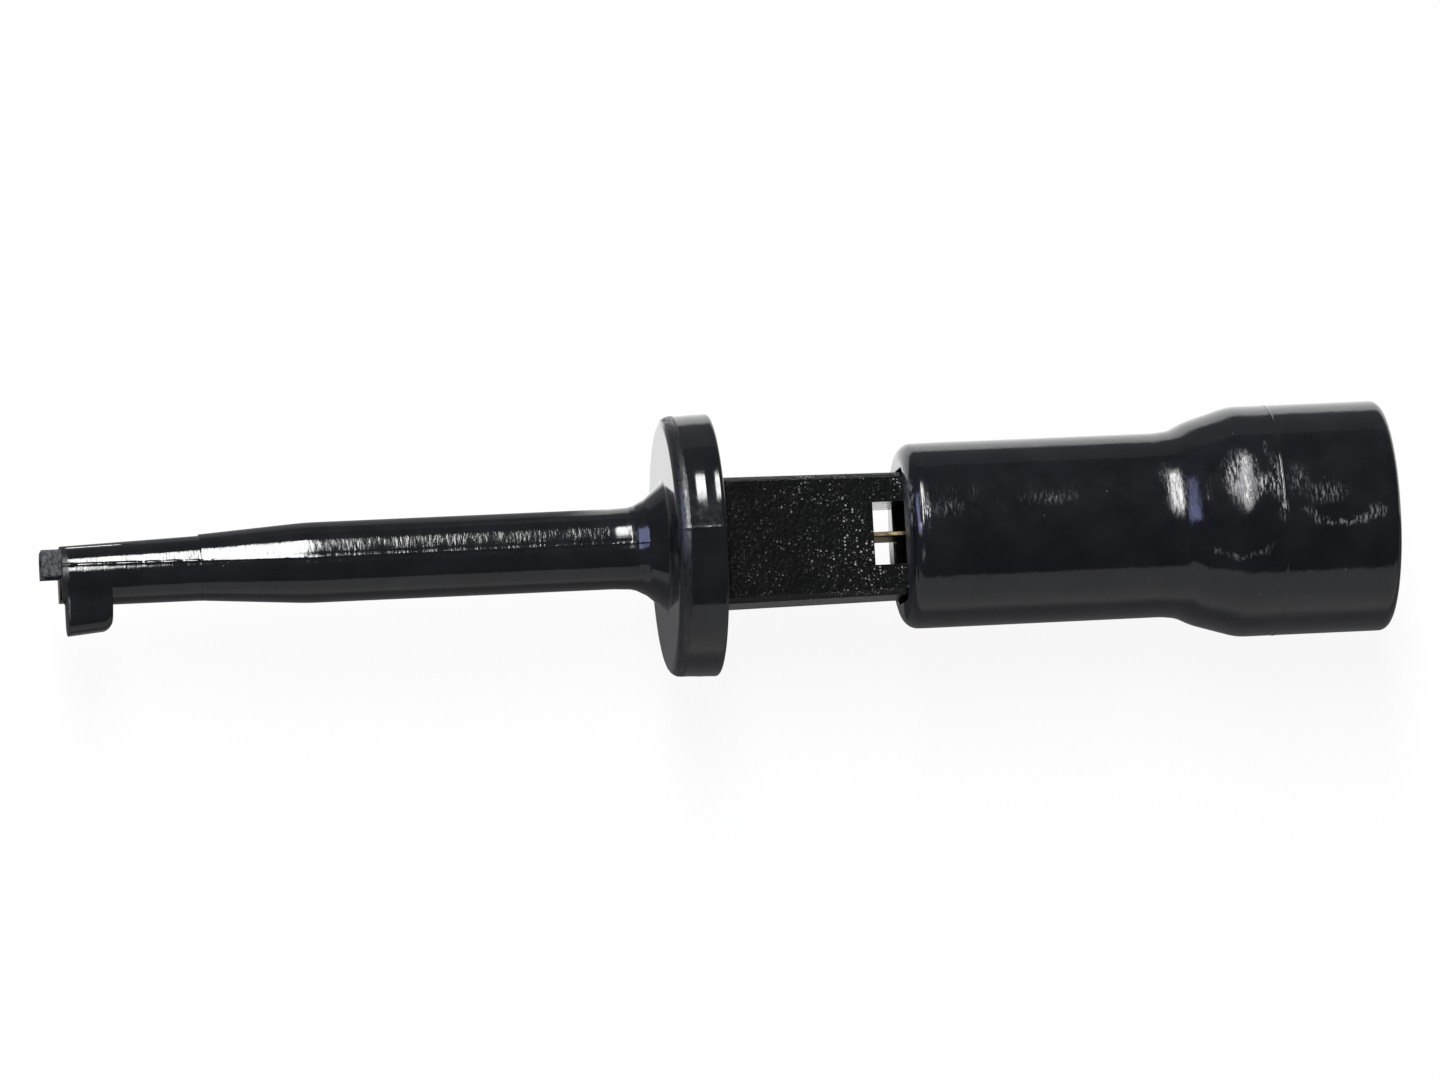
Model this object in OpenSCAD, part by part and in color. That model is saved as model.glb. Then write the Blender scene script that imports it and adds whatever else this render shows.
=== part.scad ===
// Plunger-action grabber test hook, lying on its side.
// The axis runs along X with the nose at -X. The nose's foot points to -Y, and the guide block's
// window looks along Z. The origin is on the surface that the hook lies on, below its middle.

/* [Nose] */
// Diameter of the straight part of the nose
nose_d = 3.38; // [2.9:0.01:4.6]
// Length of the straight part of the nose
nose_straight = 13.7; // [8:0.1:24]
// Length of the taper in front of the straight part
nose_taper = 4.45; // [2:0.05:9]
// Diameter of the nose where its taper ends
step_d = 2.78; // [2.6:0.01:3.2]
// Height of the small ledge round the nose where the taper ends
step_ledge = 0.04; // [0.02:0.01:0.1]
// Length of the slender tip from the ledge to the front face
tip_len = 5.85; // [4:0.05:9]
// Diameter of the tip at its front face
tip_d = 2.52; // [2.3:0.02:2.66]
// How far the tip's front end sits below the axis
tip_drop = 0.13; // [0.02:0.01:0.2]

/* [Hood and foot] */
// How far the hood reaches forward of the front face
hood_len = 0.8; // [0.5:0.05:2]
// Height of the hood's top above the axis
hood_top = 0.97; // [0.85:0.01:1.05]
// Depth of the hood's lower edge below the axis
hood_low = 0.18; // [0.12:0.01:0.5]
// Wall of the hood beside and above the strip
hood_wall = 0.38; // [0.25:0.01:0.45]
// Depth of the seat in the front face that the hook's leg is drawn into
hook_seat = 0.16; // [0.05:0.01:0.19]
// Distance from the front face back to the foot
foot_back = 0.2; // [0:0.05:0.6]
// Length of the foot along the nose
foot_len = 1.9; // [1.2:0.05:3]
// Depth of the foot's toe below the axis
foot_drop = 2.63; // [1.8:0.01:3.6]
// How much the foot's sole rises towards its heel
foot_rise = 0.2; // [0.02:0.01:0.4]
// Width of the foot
foot_w = 2; // [1.4:0.05:2.3]
// Corner radius of the foot's heel
heel_r = 0.42; // [0.1:0.01:0.6]
// Rounding of the two long edges of the foot's sole
sole_r = 0.65; // [0.1:0.01:0.68]

/* [Flange] */
// Length of the cone from the nose to the flange
cone_len = 1.45; // [0.8:0.05:3]
// Diameter of the cone where it meets the flange
cone_d = 5.45; // [4.9:0.05:7]
// Hollow radius where the cone starts
cone_fillet = 0.55; // [0.1:0.05:1]
// Diameter of the finger flange
flange_d = 11.1; // [9.5:0.1:16]
// Thickness of the finger flange
flange_t = 2.05; // [1.6:0.05:3.5]
// Draft of the flange's rim, which grows towards the rear, in degrees
flange_draft = 2.6; // [0:0.1:6]
// Rounding of the flange's front edge
flange_front_r = 0.45; // [0.1:0.05:0.7]
// Rounding of the flange's rear edge
flange_rear_r = 0.15; // [0.05:0.05:0.6]

/* [Guide block] */
// Height of the guide block at the flange
guide_h = 5.35; // [4.8:0.05:6]
// Thickness of the guide block
guide_t = 3.6; // [3.4:0.05:4.4]
// Diameter of the round that trims the guide block's corners at the flange
guide_d = 6.1; // [5.8:0.05:8]
// Draft of the guide block's height, for each side, in degrees
guide_draft = 0.7; // [0:0.05:1]
// Length of the guide block that shows between flange and sleeve
guide_show = 7.95; // [6.7:0.05:12]
// Diameter of the round spigot that holds the guide block in the flange
spigot_d = 3.2; // [2.6:0.1:3.3]
// Floor left in front of the spigot, measured from the flange's front face
spigot_floor = 0.5; // [0.3:0.05:0.8]
// Distance from the flange to the front end of the window
window_start = 6.63; // [5:0.01:7.5]
// Height of the window
window_h = 2.65; // [2:0.05:3]
// Bridge between the window and the rear end of the guide block
bridge = 0.9; // [0.6:0.05:2]

/* [Contact] */
// Width of the contact strip
strip_w = 1.1; // [0.8:0.05:1.25]
// Thickness of the contact strip
strip_t = 0.22; // [0.12:0.01:0.3]
// Depth of the hook's leg below the axis
leg_drop = 1.24; // [0.7:0.01:2]
// Inner radius of the bend between strip and leg
bend_r = 0.1; // [0.05:0.01:0.3]
// Thickness of the terminal's collar
collar_t = 1; // [0.6:0.05:1.6]
// Height of the terminal's collar
collar_h = 5.2; // [4:0.1:5.3]
// Diameter of the hub that grips the strip
hub_d = 1.7; // [1.5:0.02:1.8]
// Length of the hub in front of the collar
hub_len = 1.2; // [0.6:0.05:2]
// Outer diameter of the solder cup
cup_d = 2.4; // [2:0.05:2.8]
// Bore of the solder cup
cup_bore_d = 1.7; // [1:0.05:1.75]
// Length of the solder cup behind the collar
cup_len = 2; // [1:0.05:4]

/* [Spring] */
// Outside diameter of the return spring
spring_d = 2.6; // [2.4:0.02:2.66]
// Diameter of the spring's wire
spring_wire = 0.25; // [0.15:0.01:0.3]
// Turns of the spring, closed end turns included
spring_turns = 8; // [5:1:12]
// Room left between the turns when the plunger is pressed home
spring_spare = 0.8; // [0.3:0.05:2]

/* [Plunger] */
// Travel of the plunger
travel = 5.8; // [4:0.1:6.4]
// Wall of the sleeve outside the round of its bore
sleeve_wall = 0.77; // [0.5:0.01:1.2]
// Radius that the sleeve loses towards its rear end by draft
sleeve_draft = 0.02; // [0:0.01:0.2]
// Length of the sleeve before it flares
sleeve_straight = 11.6; // [9:0.1:13]
// Rounding of the sleeve's front edge
sleeve_front_r = 0.65; // [0.2:0.05:0.75]
// How far the thumb end stands out from the sleeve
thumb_rise = 0.98; // [0.7:0.02:2]
// Slope of the flare, in degrees
flare_angle = 24; // [16:1:34]
// Hollow radius where the flare starts
flare_hollow_r = 2; // [0.4:0.1:3]
// Crown radius where the flare ends
flare_crown_r = 2.6; // [1:0.1:3.4]
// Rounding of the thumb end's rear edge
thumb_edge_r = 0.4; // [0.1:0.05:0.8]
// Depth of the dish in the thumb face
dish_depth = 0.3; // [0.1:0.05:0.6]
// Flat rim round the dish
dish_rim = 0.7; // [0.2:0.05:1.5]
// Length of a snap lug along the axis
lug_len = 0.9; // [0.6:0.05:1.4]
// How far a snap lug reaches into the window
lug_reach = 0.45; // [0.2:0.01:0.5]
// Diameter of the bore that the lead enters by
lead_d = 3.6; // [3.2:0.05:4.6]
// Length of the lead bore, up to the deepest part of the dish
lead_len = 2.1; // [1.4:0.05:5]
// Room behind the solder cup, in front of the lead bore
cup_room = 0.3; // [0.1:0.05:1]

/* [Clearances] */
// Gap round the guide block in the sleeve
slide_gap = 0.1; // [0.05:0.01:0.2]
// Gap round the contact strip in its channels
strip_gap = 0.1; // [0.05:0.01:0.15]
// Gap between the snap lugs and the ends and sides of the window
lug_gap = 0.05; // [0.02:0.01:0.12]
// Gap between pieces that are pressed, soldered or spring loaded together
seat_gap = 0.02; // [0.01:0.01:0.05]
// Gap round the terminal in the sleeve
terminal_gap = 0.05; // [0.02:0.01:0.15]

/* [Hidden] */
$fn = 96;
// Overshoot of a cut past the faces that it opens
past = 0.5;
// Pieces of each arc in a turned profile
arc_steps = 10;
// Sides of the spring's wire, and its stations in one turn
wire_sides = 8;
turn_steps = 24;

// Stations along the axis, from the hood's front end
x_face = hood_len;
x_step = x_face + tip_len;
x_shoulder = x_step + nose_taper;
x_cone = x_shoulder + nose_straight;
x_flange = x_cone + cone_len;
x_guide = x_flange + flange_t;
x_sleeve = x_guide + guide_show;
x_window = x_guide + window_start;
x_lug = x_window + lug_gap + travel;
x_window_end = x_lug + lug_len + lug_gap;
x_guide_end = x_window_end + bridge;
spring_len = spring_turns * spring_wire + spring_spare + travel;
x_collar = x_guide_end + spring_len;
x_seat = x_collar + collar_t;
x_cup_end = x_seat + cup_len;
x_lead = x_cup_end + cup_room;
x_end = x_lead + lead_len + dish_depth;

// Radii
guide_r = guide_d / 2;
bore_r = guide_r + slide_gap;
sleeve_r = bore_r + sleeve_wall;
sleeve_rear_r = sleeve_r - sleeve_draft;
thumb_r = sleeve_rear_r + thumb_rise;
strip_bore_r = norm([strip_w, strip_t]) / 2 + strip_gap;
channel_w = strip_w + 2 * strip_gap;
channel_h = strip_t + 2 * strip_gap;
hood_w = channel_w + 2 * hood_wall;
spigot_len = flange_t - spigot_floor;
lug_tip = guide_t / 2 - lug_reach;
collar_w = 2 * (lug_tip - terminal_gap);
chamber_r = cup_d / 2 + terminal_gap;
axis_z = max(flange_d / 2, thumb_r);
x_mid = x_end / 2;

// Points along an arc from angle a0 to angle a1
function arc(centre, r, a0, a1) =
    [for (i = [0 : arc_steps]) let (a = a0 + (a1 - a0) * i / arc_steps) centre + r * [cos(a), sin(a)]];

// A shape given along the axis and about it, set down where the hook lies
module placed() {
    translate([-x_mid, 0, axis_z]) children();
}

// A solid turned about X from a profile of points [x, radius]
module turned(profile) {
    rotate([0, 90, 0]) rotate_extrude() polygon([for (p = profile) [p[1], p[0]]]);
}

// A section drawn in Y and Z, drawn out along X
module along(from, to) {
    translate([from, 0, 0]) rotate([90, 0, 90]) linear_extrude(to - from) children();
}

// An outline drawn in X and Y, drawn out evenly to both sides of the axis
module across(width) {
    translate([0, 0, -width / 2]) linear_extrude(width) children();
}

// A round bore along the axis
module bore(from, to, r) {
    translate([from, 0, 0]) rotate([0, 90, 0]) cylinder(h = to - from, r = r);
}

// The guide block's section at the flange, grown by a gap on every side
module guide_section(gap) {
    intersection() {
        circle(r = guide_r + gap);
        square([guide_h + 2 * gap, guide_t + 2 * gap], center = true);
    }
}

// Nose, cone and flange turned in one, from the ledge to the flange's rear face
module turned_barrel() {
    rim = flange_d / 2;
    rim_front = rim - (flange_t - flange_front_r - flange_rear_r) * tan(flange_draft);
    slope = atan((cone_d - nose_d) / 2 / cone_len);
    hollow_centre = [x_cone - cone_fillet * tan(slope / 2), nose_d / 2 + cone_fillet];
    hollow = arc(hollow_centre, cone_fillet, -90, slope - 90);
    front = arc([x_flange + flange_front_r, rim_front - flange_front_r], flange_front_r, 180, 90);
    rear = arc([x_guide - flange_rear_r, rim - flange_rear_r], flange_rear_r, 90, 0);
    turned(concat(
        [[x_step, 0], [x_step, step_d / 2], [x_shoulder, nose_d / 2]],
        hollow,
        [[x_flange, cone_d / 2]],
        front,
        rear,
        [[x_guide, 0]]
    ));
}

// Slender tip, tilted so that its front end hangs below the axis
module tip() {
    shrink = (step_d / 2 - step_ledge - tip_d / 2) / tip_len;
    intersection() {
        translate([x_step, 0, 0])
            rotate([0, 0, asin(tip_drop / tip_len)])
            rotate([0, -90, 0])
            translate([0, 0, -past])
            cylinder(
                h = tip_len + 2 * past,
                r1 = tip_d / 2 + shrink * (tip_len + past),
                r2 = tip_d / 2 - shrink * past
            );
        translate([x_face, -nose_d, -nose_d]) cube([tip_len + 2 * past, 2 * nose_d, 2 * nose_d]);
    }
}

// Side view of the foot: toe square, heel rounded, sole rising towards the heel
module foot_side() {
    heel = x_face + foot_back + foot_len;
    heel_low = foot_rise - foot_drop;
    round_to = arc([heel - heel_r, heel_low + heel_r], heel_r, 0, -90);
    polygon(concat([[x_face + foot_back, -foot_drop], [x_face + foot_back, 0], [heel, 0]], round_to));
}

// Front view of the foot, with the edges of its sole rounded
module foot_front() {
    half = foot_w / 2;
    near = arc([sole_r - foot_drop, half - sole_r], sole_r, 90, 180);
    far = arc([sole_r - foot_drop, sole_r - half], sole_r, 180, 270);
    polygon(concat([[0, -half], [0, half]], near, far));
}

// Anvil foot under the tip
module foot() {
    intersection() {
        across(foot_w) foot_side();
        along(x_face, x_face + foot_back + foot_len) foot_front();
    }
}

// Hood over the hook: the top of the tip carried forward, open below for the leg
module hood() {
    difference() {
        along(0, x_face + past) intersection() {
            translate([-tip_drop, 0]) circle(d = tip_d);
            translate([-hood_low, -hood_w / 2]) square([hood_low + hood_top, hood_w]);
        }
        translate([-past, -tip_d, -channel_w / 2])
            cube([x_face + past, tip_d + hood_top - hood_wall, channel_w]);
    }
}

// Polished nose moulding with its hood, foot and finger flange
module nose_barrel() {
    color([0.05, 0.055, 0.065]) placed() difference() {
        union() {
            turned_barrel();
            tip();
            foot();
            hood();
        }
        bore(x_face, x_guide, strip_bore_r);
        translate([x_face - past, -tip_d, -channel_w / 2]) cube([past + hook_seat, tip_d, channel_w]);
        bore(x_guide - spigot_len - seat_gap, x_guide + past, spigot_d / 2 + seat_gap);
    }
}

// Textured guide block: drafted bar with a window, a strip channel and a spigot
module guide_block() {
    run = x_guide_end - x_guide;
    lost = run * tan(guide_draft);
    color([0.06, 0.062, 0.06]) placed() difference() {
        union() {
            intersection() {
                across(guide_t) polygon([
                    [x_guide, -guide_h / 2],
                    [x_guide, guide_h / 2],
                    [x_guide_end, guide_h / 2 - lost],
                    [x_guide_end, lost - guide_h / 2]
                ]);
                turned([[x_guide, 0], [x_guide, guide_r], [x_guide_end, guide_r - lost], [x_guide_end, 0]]);
            }
            bore(x_guide - spigot_len, x_guide + past, spigot_d / 2);
        }
        along(x_guide - spigot_len - past, x_guide_end + past) square([channel_h, channel_w], center = true);
        translate([x_window, -window_h / 2, -guide_t])
            cube([x_window_end - x_window, window_h, 2 * guide_t]);
    }
}

// Flat contact strip, its front end bent down into the hook's leg
module hook_contact() {
    front = x_face + hook_seat - seat_gap - strip_t;
    tail = x_collar - seat_gap;
    bend_centre = [front + strip_t + bend_r, -strip_t / 2 - bend_r];
    outside = arc(bend_centre, bend_r + strip_t, 180, 90);
    inside = arc(bend_centre, bend_r, 90, 180);
    color([0.72, 0.58, 0.3]) placed() across(strip_w) polygon(concat(
        [[front, -leg_drop]],
        outside,
        [[tail, strip_t / 2], [tail, -strip_t / 2]],
        inside,
        [[front + strip_t, -leg_drop]]
    ));
}

// Turned terminal: slit hub for the strip, collar for the spring, cup for the lead's wire
module solder_terminal() {
    color([0.75, 0.62, 0.34]) placed() difference() {
        union() {
            bore(x_collar - hub_len, x_collar + collar_t / 2, hub_d / 2);
            along(x_collar, x_seat) intersection() {
                circle(d = collar_h);
                square([collar_h, collar_w], center = true);
            }
            bore(x_collar + collar_t / 2, x_cup_end, cup_d / 2);
        }
        along(x_collar - hub_len - past, x_collar)
            square([strip_t + 2 * seat_gap, strip_w + 2 * seat_gap], center = true);
        bore(x_seat, x_cup_end + past, cup_bore_d / 2);
    }
}

// Place of the coil's centre line after so many turns, with one closed turn at each end
function coil_x(turn) =
    let (
        first = x_guide_end + seat_gap + spring_wire / 2,
        last = x_collar - seat_gap - spring_wire / 2,
        pitch = (last - first - 2 * spring_wire) / (spring_turns - 2)
    )
    turn < 1 ? first + turn * spring_wire
    : turn > spring_turns - 1 ? last - (spring_turns - turn) * spring_wire
    : first + spring_wire + (turn - 1) * pitch;

// One ring of points round the wire, at a station along the coil
function wire_ring(station) =
    let (turn = station / turn_steps, a = 360 * turn, mean_r = (spring_d - spring_wire) / 2)
    [for (k = [0 : wire_sides - 1])
        let (b = 360 * k / wire_sides, r = mean_r + spring_wire / 2 * cos(b))
        [coil_x(turn) + spring_wire / 2 * sin(b), r * cos(a), r * sin(a)]];

// Return spring between the guide block and the terminal's collar
module return_spring() {
    rings = spring_turns * turn_steps;
    points = [for (s = [0 : rings]) each wire_ring(s)];
    sides = [for (s = [0 : rings - 1], k = [0 : wire_sides - 1])
        let (next = (k + 1) % wire_sides, at = s * wire_sides, on = at + wire_sides)
        [at + k, on + k, on + next, at + next]];
    front = [for (k = [0 : wire_sides - 1]) k];
    back = [for (k = [wire_sides - 1 : -1 : 0]) rings * wire_sides + k];
    color([0.7, 0.71, 0.73]) placed() polyhedron(points, concat(sides, [front, back]));
}

// Outline of the sleeve, its flare and the dished thumb end
module turned_sleeve() {
    x_flare = x_sleeve + sleeve_straight;
    blend = flare_hollow_r + flare_crown_r;
    slope_rise = thumb_rise - blend * (1 - cos(flare_angle));
    x_crown = x_flare + blend * sin(flare_angle) + slope_rise / tan(flare_angle);
    front = arc([x_sleeve + sleeve_front_r, sleeve_r - sleeve_front_r], sleeve_front_r, 180, 90);
    hollow = arc([x_flare, sleeve_rear_r + flare_hollow_r], flare_hollow_r, -90, flare_angle - 90);
    crown = arc([x_crown, thumb_r - flare_crown_r], flare_crown_r, 90 + flare_angle, 90);
    edge = arc([x_end - thumb_edge_r, thumb_r - thumb_edge_r], thumb_edge_r, 90, 0);
    dish_r = thumb_r - thumb_edge_r - dish_rim;
    ball_r = (dish_r * dish_r + dish_depth * dish_depth) / (2 * dish_depth);
    dish_a = asin(dish_r / ball_r);
    dish = arc([x_end - dish_depth + ball_r, 0], ball_r, 180 - dish_a, 180);
    turned(concat([[x_sleeve, 0]], front, hollow, crown, edge, dish));
}

// Snap lug on the sleeve's wall: ramped in front, square behind, so that it clicks into the window
module lug() {
    wall = guide_t / 2 + slide_gap;
    width = window_h - 2 * lug_gap;
    translate([0, width / 2, 0]) rotate([90, 0, 0]) linear_extrude(width) polygon([
        [x_lug, wall + past],
        [x_lug, wall],
        [x_lug + lug_len / 2, lug_tip],
        [x_lug + lug_len, lug_tip],
        [x_lug + lug_len, wall + past]
    ]);
}

// Polished plunger: keyed sleeve with two snap lugs, flared thumb end, cup chamber and lead bore
module plunger_sleeve() {
    color([0.045, 0.05, 0.06]) placed() {
        difference() {
            turned_sleeve();
            along(x_sleeve - past, x_seat + seat_gap) guide_section(slide_gap);
            bore(x_seat, x_lead + past, chamber_r);
            bore(x_lead, x_end + past, lead_d / 2);
        }
        lug();
        mirror([0, 0, 1]) lug();
    }
}

nose_barrel();
guide_block();
hook_contact();
solder_terminal();
return_spring();
plunger_sleeve();
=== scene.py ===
import bpy
import numpy as np
from mathutils import Matrix, Vector


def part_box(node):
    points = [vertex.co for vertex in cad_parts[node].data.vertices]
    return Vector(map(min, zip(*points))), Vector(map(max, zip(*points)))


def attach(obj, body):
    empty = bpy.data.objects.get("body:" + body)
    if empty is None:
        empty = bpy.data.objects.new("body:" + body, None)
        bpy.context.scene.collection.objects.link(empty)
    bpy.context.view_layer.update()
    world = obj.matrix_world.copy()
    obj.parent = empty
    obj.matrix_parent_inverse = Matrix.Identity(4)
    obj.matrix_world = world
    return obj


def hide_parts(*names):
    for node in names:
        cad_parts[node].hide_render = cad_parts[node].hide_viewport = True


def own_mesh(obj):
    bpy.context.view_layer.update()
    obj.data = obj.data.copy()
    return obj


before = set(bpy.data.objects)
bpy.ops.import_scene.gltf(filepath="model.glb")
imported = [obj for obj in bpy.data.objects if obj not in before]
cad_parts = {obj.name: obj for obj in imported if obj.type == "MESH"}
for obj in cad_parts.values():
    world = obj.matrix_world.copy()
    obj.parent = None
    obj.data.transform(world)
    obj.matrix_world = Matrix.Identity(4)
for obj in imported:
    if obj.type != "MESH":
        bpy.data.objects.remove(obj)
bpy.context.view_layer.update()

mm = 0.001

# Nose barrel: one polished black nylon moulding with the slender tip, its anvil foot, the cone and
# the finger flange. It is moulded in two halves of a tool, so a fine parting ridge runs along both
# sides, and a bore through its length guides the contact strip.
nose_low, nose_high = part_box("nose_barrel")
axis_z = (nose_low.z + nose_high.z) / 2
hood_front = nose_low.x
flange_r = (nose_high.z - nose_low.z) / 2
flange_rear = nose_high.x - hood_front
rim_front_r = flange_r - 0.075 * mm
rim_front_round = 0.45 * mm
rim_rear_round = 0.15 * mm
face_at = 0.8 * mm
tip_len = 5.85 * mm
taper_len = 4.45 * mm
straight_len = 13.7 * mm
cone_len = 1.45 * mm
tip_r = 1.26 * mm
tip_root_r = 1.33 * mm
ledge_r = 1.39 * mm
nose_r = 1.69 * mm
shoulder_round = 14 * mm
cone_x = np.array([-0.8, -0.05, 0.2, 0.65]) * mm
cone_gain = np.array([0, 0.039, 0.101, 0.34]) * mm
cone_round = np.array([5, 0.25, 0.3, 0.6]) * mm
cone_r = 2.725 * mm
strip_bore_r = 0.66 * mm
socket_r = 1.62 * mm
socket_floor = 0.48 * mm
face_edge = 0.06 * mm
step_edge = 0.012 * mm
inner_edge = 0.05 * mm
tip_drop = 0.13 * mm
foot_toe = 0.2 * mm
foot_len = 1.9 * mm
foot_drop = 2.63 * mm
foot_rise = 0.2 * mm
foot_half = 1.0 * mm
foot_corner = 0.42 * mm
sole_round = 0.65 * mm
foot_edge = 0.07 * mm
root_blend = 26
seat_depth = 0.16 * mm
seat_half = 0.65 * mm
seat_side = 0.06 * mm
seat_fade = 0.19 * mm
ridge_turn = np.radians(2.2)
ridge_at = np.pi / 2 - ridge_turn
flat_half = np.radians(9)
flash_at = np.radians(36)
flash_half = 0.028
line_turn = 0.025
close_steps = np.array([-3, -2, -1.4, -1, -0.6, -0.3, 0, 0.3, 0.6, 1, 1.4, 2, 3])
tiny = 1e-9


def rounded_outline(corners, arc_steps=7, run_steps=9):
    """Closed outline through corners, each given by its two coordinates and the radius of the arc that
    rounds it, tangent to its two sides. The arc swings from one tangent point to the other about its
    centre, and the straight runs between arcs are stepped by half a cosine wave, closest at their ends,
    so that the arcs shade crisply."""
    corners = np.array(corners, float)
    corners, radii = corners[:, :2], corners[:, 2:]
    back = np.roll(corners, 1, 0) - corners
    ahead = np.roll(corners, -1, 0) - corners
    back /= np.linalg.norm(back, axis=1, keepdims=True)
    ahead /= np.linalg.norm(ahead, axis=1, keepdims=True)
    half = np.arccos(np.clip((back * ahead).sum(1, keepdims=True), -1, 1)) / 2
    start = corners + back * radii / np.tan(half)
    end = corners + ahead * radii / np.tan(half)
    middle = back + ahead
    centre = corners + middle / np.linalg.norm(middle, axis=1, keepdims=True) * radii / np.sin(half)
    swing = np.pi - 2 * half[:, :, None]
    share = np.linspace(0, 1, arc_steps)[None, :, None]
    from_start = (start - centre)[:, None] * np.sin((1 - share) * swing)
    to_end = (end - centre)[:, None] * np.sin(share * swing)
    arcs = centre[:, None] + (from_start + to_end) / np.sin(swing)
    along = (1 - np.cos(np.pi * np.arange(1, run_steps) / run_steps))[None, :, None] / 2
    runs = end[:, None] * (1 - along) + np.roll(start, -1, 0)[:, None] * along
    return np.concatenate([arcs, runs], 1).reshape(-1, 2)


def with_rows(outline, outer, stations):
    """The outline with more points on its outer side, at these stations, on the line there."""
    x, r = outline[:outer].T
    rows = np.stack([stations, np.interp(stations, x, r)], 1)
    return np.insert(outline, np.searchsorted(x, stations), rows, axis=0)


def surface(name, points, round_rows=True, round_columns=True):
    """A piece made of the quads of a grid of points. A round direction joins its last line to its first,
    and an open one gets a flat cap at each end."""
    rows, columns = points.shape[:2]
    index = np.arange(rows * columns).reshape(rows, columns)
    ends = []
    if round_rows:
        index = np.vstack([index, index[:1]])
    else:
        ends = [index[0, ::-1].tolist(), index[-1].tolist()]
    if round_columns:
        index = np.hstack([index, index[:, :1]])
    quads = np.stack([index[:-1, :-1], index[:-1, 1:], index[1:, 1:], index[1:, :-1]], -1)
    mesh = bpy.data.meshes.new(name)
    mesh.from_pydata(points.reshape(-1, 3), [], quads.reshape(-1, 4).tolist() + ends)
    mesh.shade_smooth()
    mesh.validate()
    piece = bpy.data.objects.new(name, mesh)
    bpy.context.scene.collection.objects.link(piece)
    return piece


def turned_angles(steps, places):
    """Angles round the axis, evenly stepped from +Y, with more of them close to the given places."""
    even = np.arange(steps) * 2 * np.pi / steps
    close = [place + line_turn * close_steps for place in places]
    return np.unique(np.concatenate([even] + close).round(6))


def bell(away, spread):
    """A bell curve: one where away is nought, and falling to a third at the spread."""
    return np.exp(-((away / spread) ** 2))


def around_axis(x, r, angles):
    """Points at station x and distance r from the axis, at each angle from +Y towards +Z."""
    turn = np.broadcast_to(angles, np.broadcast_shapes(np.shape(x), np.shape(r), np.shape(angles)))
    return np.stack([hood_front + x + 0 * turn, r * np.cos(turn), axis_z + r * np.sin(turn)], -1)


def foot_reach(x, angles):
    """Distance from the axis to the foot's side, sole or rounded sole edge, whichever a ray meets, for
    rays that point down. Depth and half width shrink by a quarter circle towards toe and heel."""
    toe = face_at + foot_toe
    heel = toe + foot_len
    from_end = np.clip(np.minimum(x - toe, heel - x), 0, foot_edge)
    trim = foot_edge - np.sqrt(foot_edge**2 - (foot_edge - from_end) ** 2)
    past_heel = np.clip(x - (heel - foot_corner), 0, foot_corner)
    sole = foot_drop - foot_rise * np.clip((x - toe) / foot_len, 0, 1)
    depth = sole - foot_corner + np.sqrt(foot_corner**2 - past_heel**2) - trim
    half = foot_half - trim
    down = np.maximum(-np.cos(angles), tiny)
    aside = np.maximum(np.abs(np.sin(angles)), tiny)
    flat = np.minimum(half / aside, depth / down)
    deep, wide = depth - sole_round, half - sole_round
    ahead = down * deep + aside * wide
    bend = ahead + np.sqrt(np.maximum(ahead**2 - deep**2 - wide**2 + sole_round**2, 0))
    on_bend = (bend * down > deep) & (bend * aside > wide)
    return np.where((x >= toe) & (x <= heel) & (np.cos(angles) < 0), np.where(on_bend, bend, flat), 0)


step_at = face_at + tip_len
shoulder_at = step_at + taper_len
cone_at = shoulder_at + straight_len
flange_at = cone_at + cone_len
socket_at = flange_at + socket_floor
nose_outline = rounded_outline(
    [
        (face_at, tip_r, face_edge),
        (step_at, tip_root_r, step_edge),
        (step_at, ledge_r, step_edge),
        (shoulder_at, nose_r, shoulder_round),
        *zip(cone_at + cone_x, nose_r + cone_gain, cone_round),
        (flange_at, cone_r, 0.3 * mm),
        (flange_at, rim_front_r, rim_front_round),
        (flange_rear, flange_r, rim_rear_round),
        (flange_rear, socket_r, inner_edge),
        (socket_at, socket_r, inner_edge),
        (socket_at, strip_bore_r, inner_edge),
        (face_at, strip_bore_r, inner_edge),
    ]
)

# More rows of points lie where the foot ends, along the tip and on the flange's rim.
outer_rows = int(np.argmax(nose_outline[:, 0])) + 1
foot_ends = face_at + foot_toe + np.array([0, foot_len])
end_rows = foot_edge * np.array([-0.3, -0.01, 0.001, 0.07, 0.2, 0.4, 0.7, 1, 1.5])
foot_rows = np.concatenate([foot_ends[0] + end_rows, foot_ends[1] - end_rows[::-1]])
heel_rows = foot_ends[1] - foot_corner * np.array([1, 0.8, 0.6, 0.45, 0.3])
rim_rows = flange_at + np.linspace(0.48, 1.88, 29) * mm
tip_rows = np.linspace(face_at + 0.3 * mm, shoulder_at, 60)
new_rows = np.sort(np.concatenate([foot_rows, heel_rows, tip_rows, rim_rows]))
nose_outline = with_rows(nose_outline, outer_rows, new_rows)
outer_rows += len(new_rows)
nose_x = nose_outline[:, :1]
nose_rr = nose_outline[:, 1:]

# The angles are drawn up towards the top of the tip, so that the parting ridge climbs there.
nose_turns = turned_angles(160, [ridge_at, ridge_at + np.pi, flash_at])
ridge_climb = np.radians(np.interp(nose_x, [face_at, step_at, shoulder_at], [9, 4.5, 0]))
nose_angles = nose_turns - ridge_climb * np.sin(nose_turns)
outside = np.clip((nose_rr - strip_bore_r) / (tip_r - strip_bore_r), 0, 1)
outside[outer_rows:] *= nose_x[outer_rows:] < face_at + 0.01 * mm
on_skin = outside > 0.99

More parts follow.
